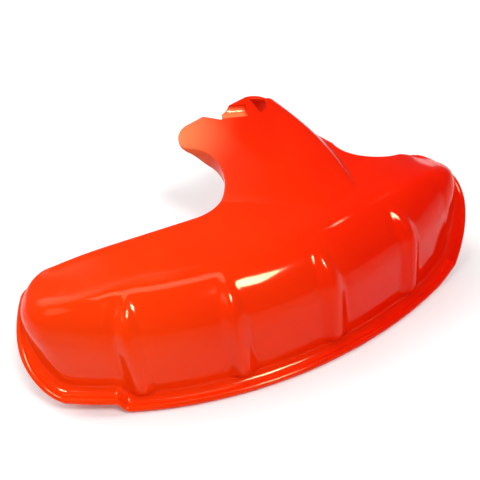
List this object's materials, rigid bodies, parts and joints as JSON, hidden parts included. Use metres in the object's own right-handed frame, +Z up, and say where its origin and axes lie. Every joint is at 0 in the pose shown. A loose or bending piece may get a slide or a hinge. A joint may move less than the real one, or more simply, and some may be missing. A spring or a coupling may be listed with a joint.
{
  "type": "trimmer blade guard",
  "caption": "Crescent-shaped moulded guard for a brush cutter: ribbed skirt with a beaded lip, flat deck, round seat for the gear housing and a sloping neck.",
  "frame": {"origin": "on the axis of the round gear housing seat, level with the deck's underside", "axes": "+Z up along the seat's axis, the skirt hangs down on the -Y side, +X to the right seen from the skirt's side"},
  "size_m": [0.348, 0.1877, 0.1134],
  "materials": {
    "guard_plastic": "glossy injection-moulded plastic, orange-red"
  },
  "bodies": {
    "root": {"blade_guard": "guard_plastic"}
  },
  "joints": []
}
